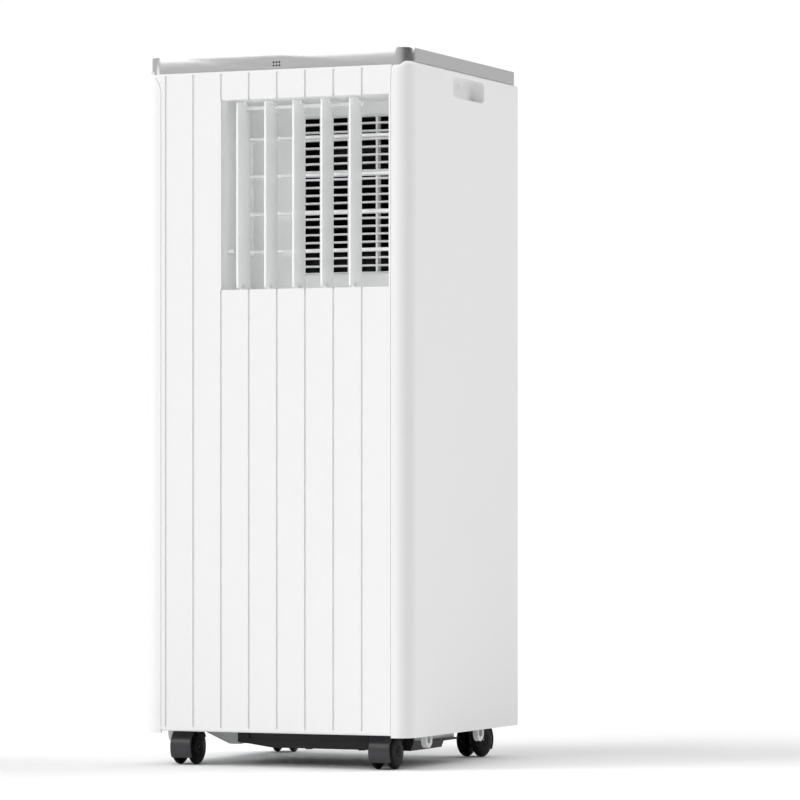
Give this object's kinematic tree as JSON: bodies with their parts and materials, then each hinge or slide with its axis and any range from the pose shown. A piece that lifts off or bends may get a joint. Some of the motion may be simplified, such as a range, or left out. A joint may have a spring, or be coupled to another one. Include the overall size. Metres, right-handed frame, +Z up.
{
  "type": "portable air conditioner",
  "caption": "Narrow column portable air conditioner on swivel casters, with a planked front, a vaned air outlet, a metallic cap, side hand recesses and a round rear exhaust port.",
  "frame": {"origin": "on the floor, under the centre of the cabinet's plan", "axes": "+Z up, the louvred front faces -Y, +X is to the right seen from the front"},
  "size_m": [0.28, 0.272, 0.68],
  "materials": {
    "white_panel": "fine satin texture",
    "white_vent": "satin",
    "grey_base": "satin",
    "silver_cap": "satin metallic",
    "black_gloss": "gloss",
    "smoke_lens": "gloss",
    "grey_button": "satin",
    "black_plastic": "satin",
    "caster_plastic": "satin",
    "caster_tread": "matte",
    "steel": "brushed",
    "galvanised": "zinc spangle",
    "coil_fins": "satin fins",
    "copper": "drawn copper tube",
    "can_paint": "baked black paint",
    "circuit_board": "solder mask",
    "black_rubber": "matte",
    "filter_net": "woven net"
  },
  "bodies": {
    "cabinet": {"front_panel": "white_panel", "left_side_panel": "white_panel", "right_side_panel": "white_panel", "rear_panel": "white_panel", "top_cap": "silver_cap", "control_panel": "black_gloss", "display_lens": "smoke_lens", "display_board": "circuit_board", "base_pan": "grey_base", "compressor_tray": "black_plastic", "mid_deck": "grey_base", "outlet_duct": "white_vent", "outlet_grille": "white_vent", "swing_motor": "galvanised", "upper_scroll": "black_plastic", "upper_motor": "galvanised", "evaporator": "coil_fins", "lower_scroll": "black_plastic", "lower_motor": "galvanised", "condenser": "coil_fins", "exhaust_collar": "white_panel", "compressor": "can_paint", "compressor_feet": "black_rubber", "refrigerant_pipes": "copper", "electrical_box": "galvanised", "control_board": "circuit_board", "cord_gland": "black_plastic", "panel_screws": "steel"},
    "vane_1": {"vane_1": "white_vent"},
    "vane_2": {"vane_2": "white_vent"},
    "vane_3": {"vane_3": "white_vent"},
    "vane_4": {"vane_4": "white_vent"},
    "vane_5": {"vane_5": "white_vent"},
    "vane_link": {"vane_link": "white_vent"},
    "slat_1": {"slat_1": "white_vent"},
    "slat_2": {"slat_2": "white_vent"},
    "slat_3": {"slat_3": "white_vent"},
    "slat_4": {"slat_4": "white_vent"},
    "slat_link": {"slat_link": "white_vent"},
    "upper_blower": {"upper_impeller": "black_plastic"},
    "lower_blower": {"lower_impeller": "black_plastic"},
    "button_power": {"button_power": "grey_button"},
    "button_mode": {"button_mode": "grey_button"},
    "button_down": {"button_down": "grey_button"},
    "button_up": {"button_up": "grey_button"},
    "intake_filter": {"intake_grille": "white_panel", "filter_mesh": "filter_net"},
    "drain_plug": {"drain_plug": "black_rubber"},
    "caster_fl": {"caster_fl_fork": "caster_plastic"},
    "caster_fl_wheelset": {"caster_fl_axle": "steel", "caster_fl_wheels": "caster_tread"},
    "caster_fr": {"caster_fr_fork": "caster_plastic"},
    "caster_fr_wheelset": {"caster_fr_axle": "steel", "caster_fr_wheels": "caster_tread"},
    "caster_rl": {"caster_rl_fork": "caster_plastic"},
    "caster_rl_wheelset": {"caster_rl_axle": "steel", "caster_rl_wheels": "caster_tread"},
    "caster_rr": {"caster_rr_fork": "caster_plastic"},
    "caster_rr_wheelset": {"caster_rr_axle": "steel", "caster_rr_wheels": "caster_tread"}
  },
  "joints": [
    {"name": "vane_1_turn", "type": "hinge", "parent": "cabinet", "child": "vane_1", "pos_m": [-0.0414, -0.118, 0.5455], "axis": [0, 0, 1], "range_deg": [-30, 30]},
    {"name": "vane_2_turn", "type": "hinge", "parent": "cabinet", "child": "vane_2", "pos_m": [-0.012, -0.118, 0.5455], "axis": [0, 0, 1], "range_deg": [-30, 30]},
    {"name": "vane_3_turn", "type": "hinge", "parent": "cabinet", "child": "vane_3", "pos_m": [0.0174, -0.118, 0.5455], "axis": [0, 0, 1], "range_deg": [-30, 30]},
    {"name": "vane_4_turn", "type": "hinge", "parent": "cabinet", "child": "vane_4", "pos_m": [0.0468, -0.118, 0.5455], "axis": [0, 0, 1], "range_deg": [-30, 30]},
    {"name": "vane_5_turn", "type": "hinge", "parent": "cabinet", "child": "vane_5", "pos_m": [0.0762, -0.118, 0.5455], "axis": [0, 0, 1], "range_deg": [-30, 30]},
    {"name": "vane_link_pivot", "type": "hinge", "parent": "vane_3", "child": "vane_link", "pos_m": [0.0174, -0.1065, 0.63], "axis": [0, 0, 1], "range_deg": [-30, 30]},
    {"name": "slat_1_tilt", "type": "hinge", "parent": "cabinet", "child": "slat_1", "pos_m": [0.03, -0.086, 0.4929], "axis": [1, 0, 0], "range_deg": [-30, 30]},
    {"name": "slat_2_tilt", "type": "hinge", "parent": "cabinet", "child": "slat_2", "pos_m": [0.03, -0.086, 0.5291], "axis": [1, 0, 0], "range_deg": [-30, 30]},
    {"name": "slat_3_tilt", "type": "hinge", "parent": "cabinet", "child": "slat_3", "pos_m": [0.03, -0.086, 0.5653], "axis": [1, 0, 0], "range_deg": [-30, 30]},
    {"name": "slat_4_tilt", "type": "hinge", "parent": "cabinet", "child": "slat_4", "pos_m": [0.03, -0.086, 0.6015], "axis": [1, 0, 0], "range_deg": [-30, 30]},
    {"name": "slat_link_pivot", "type": "hinge", "parent": "slat_1", "child": "slat_link", "pos_m": [-0.0513, -0.077, 0.4929], "axis": [1, 0, 0], "range_deg": [-30, 30]},
    {"name": "upper_blower_spin", "type": "hinge", "parent": "cabinet", "child": "upper_blower", "pos_m": [0.05, 0.0043, 0.5476], "axis": [1, 0, 0], "continuous": true},
    {"name": "lower_blower_spin", "type": "hinge", "parent": "cabinet", "child": "lower_blower", "pos_m": [0, -0.012, 0.332], "axis": [1, 0, 0], "continuous": true},
    {"name": "button_power_press", "type": "slide", "parent": "cabinet", "child": "button_power", "axis": [0, 0, -1], "range_m": [0, 0.0008], "stiffness_N_per_m": 900, "springref_m": -0.0004},
    {"name": "button_mode_press", "type": "slide", "parent": "cabinet", "child": "button_mode", "axis": [0, 0, -1], "range_m": [0, 0.0008], "stiffness_N_per_m": 900, "springref_m": -0.0004},
    {"name": "button_down_press", "type": "slide", "parent": "cabinet", "child": "button_down", "axis": [0, 0, -1], "range_m": [0, 0.0008], "stiffness_N_per_m": 900, "springref_m": -0.0004},
    {"name": "button_up_press", "type": "slide", "parent": "cabinet", "child": "button_up", "axis": [0, 0, -1], "range_m": [0, 0.0008], "stiffness_N_per_m": 900, "springref_m": -0.0004},
    {"name": "intake_filter_pull", "type": "slide", "parent": "cabinet", "child": "intake_filter", "axis": [0, 1, 0], "range_m": [0, 0.04]},
    {"name": "drain_plug_pull", "type": "slide", "parent": "cabinet", "child": "drain_plug", "axis": [0, 1, 0], "range_m": [0, 0.025]},
    {"name": "caster_fl_swivel", "type": "hinge", "parent": "cabinet", "child": "caster_fl", "pos_m": [-0.104, -0.1135, 0.045], "axis": [0, 0, 1], "continuous": true},
    {"name": "caster_fl_roll", "type": "hinge", "parent": "caster_fl", "child": "caster_fl_wheelset", "pos_m": [-0.104, -0.1085, 0.017], "axis": [1, 0, 0], "continuous": true},
    {"name": "caster_fr_swivel", "type": "hinge", "parent": "cabinet", "child": "caster_fr", "pos_m": [0.104, -0.1135, 0.045], "axis": [0, 0, 1], "continuous": true},
    {"name": "caster_fr_roll", "type": "hinge", "parent": "caster_fr", "child": "caster_fr_wheelset", "pos_m": [0.104, -0.1085, 0.017], "axis": [1, 0, 0], "continuous": true},
    {"name": "caster_rl_swivel", "type": "hinge", "parent": "cabinet", "child": "caster_rl", "pos_m": [-0.104, 0.117, 0.045], "axis": [0, 0, 1], "continuous": true},
    {"name": "caster_rl_roll", "type": "hinge", "parent": "caster_rl", "child": "caster_rl_wheelset", "pos_m": [-0.10313, 0.11208, 0.017], "axis": [-0.9848, -0.1736, 0], "continuous": true},
    {"name": "caster_rr_swivel", "type": "hinge", "parent": "cabinet", "child": "caster_rr", "pos_m": [0.104, 0.117, 0.045], "axis": [0, 0, 1], "continuous": true},
    {"name": "caster_rr_roll", "type": "hinge", "parent": "caster_rr", "child": "caster_rr_wheelset", "pos_m": [0.10313, 0.11208, 0.017], "axis": [-0.9848, 0.1736, 0], "continuous": true}
  ],
  "couplings": [
    {"joint": "vane_1_turn", "follows": "vane_3_turn", "ratio": 1},
    {"joint": "vane_2_turn", "follows": "vane_3_turn", "ratio": 1},
    {"joint": "vane_4_turn", "follows": "vane_3_turn", "ratio": 1},
    {"joint": "vane_5_turn", "follows": "vane_3_turn", "ratio": 1},
    {"joint": "vane_link_pivot", "follows": "vane_3_turn", "ratio": -1},
    {"joint": "slat_2_tilt", "follows": "slat_1_tilt", "ratio": 1},
    {"joint": "slat_3_tilt", "follows": "slat_1_tilt", "ratio": 1},
    {"joint": "slat_4_tilt", "follows": "slat_1_tilt", "ratio": 1},
    {"joint": "slat_link_pivot", "follows": "slat_1_tilt", "ratio": -1}
  ]
}
